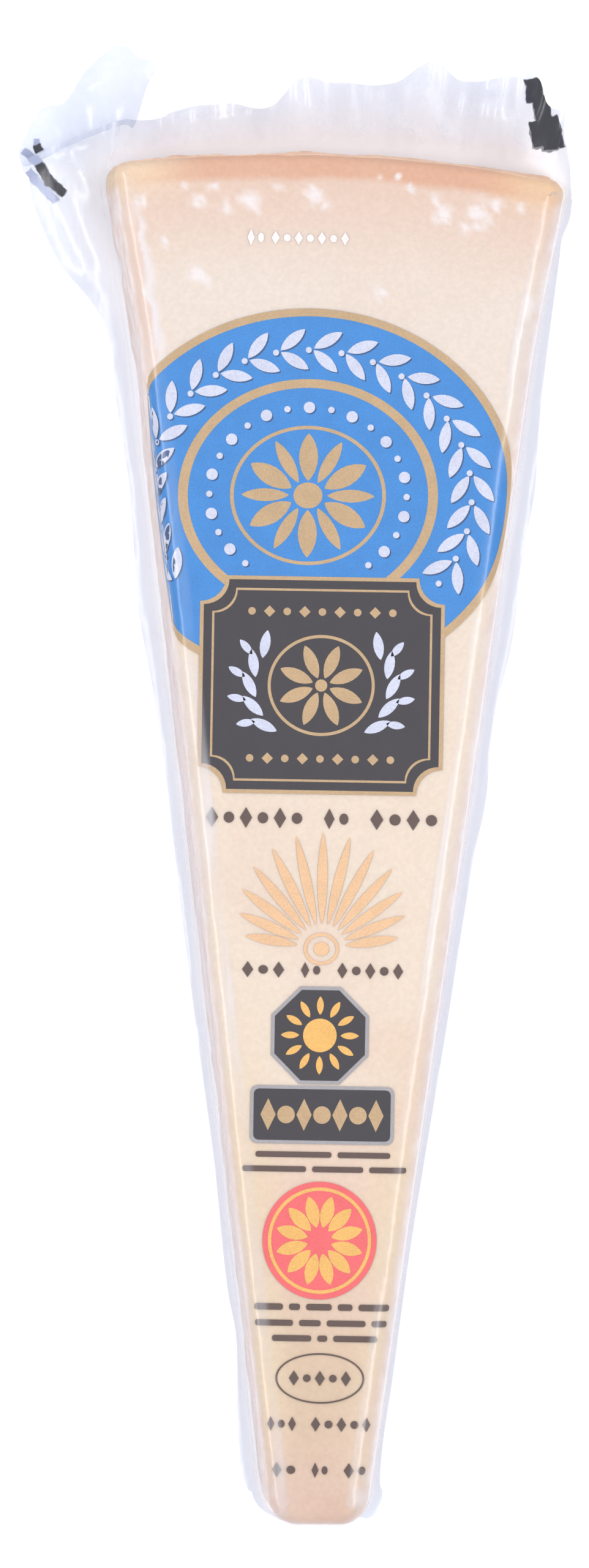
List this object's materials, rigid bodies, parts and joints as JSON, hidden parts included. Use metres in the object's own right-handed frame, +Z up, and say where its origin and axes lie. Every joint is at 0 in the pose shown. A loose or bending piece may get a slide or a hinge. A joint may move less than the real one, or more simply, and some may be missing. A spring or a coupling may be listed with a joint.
{
  "type": "shrink-wrapped parmesan wedge",
  "caption": "Long flat wedge of hard pale cheese with an orange-tan rind at the wide end, sealed in a clear printed shrink film with a crimped tail and side fins.",
  "frame": {"origin": "on the flat underside, on the wedge's long axis, about 8 mm towards the rind from the middle of the cheese", "axes": "+Y from the nose towards the rind, +X to the right seen from above, +Z up out of the printed face"},
  "size_m": [0.073, 0.1941, 0.027],
  "materials": {
    "film": "clear glossy shrink film",
    "cheese_paste": "pale cream paste, slightly moist",
    "cheese_rind": "peach to tan waxy rind",
    "ink_blue": "film print under gloss",
    "ink_gold": "film print under gloss",
    "ink_white": "film print under gloss",
    "ink_black": "film print under gloss",
    "ink_brown": "film print under gloss",
    "ink_red": "film print under gloss",
    "ink_amber": "film print under gloss",
    "ink_silver": "film print under gloss"
  },
  "bodies": {
    "root": {"film_pack": "film"}
  },
  "joints": []
}
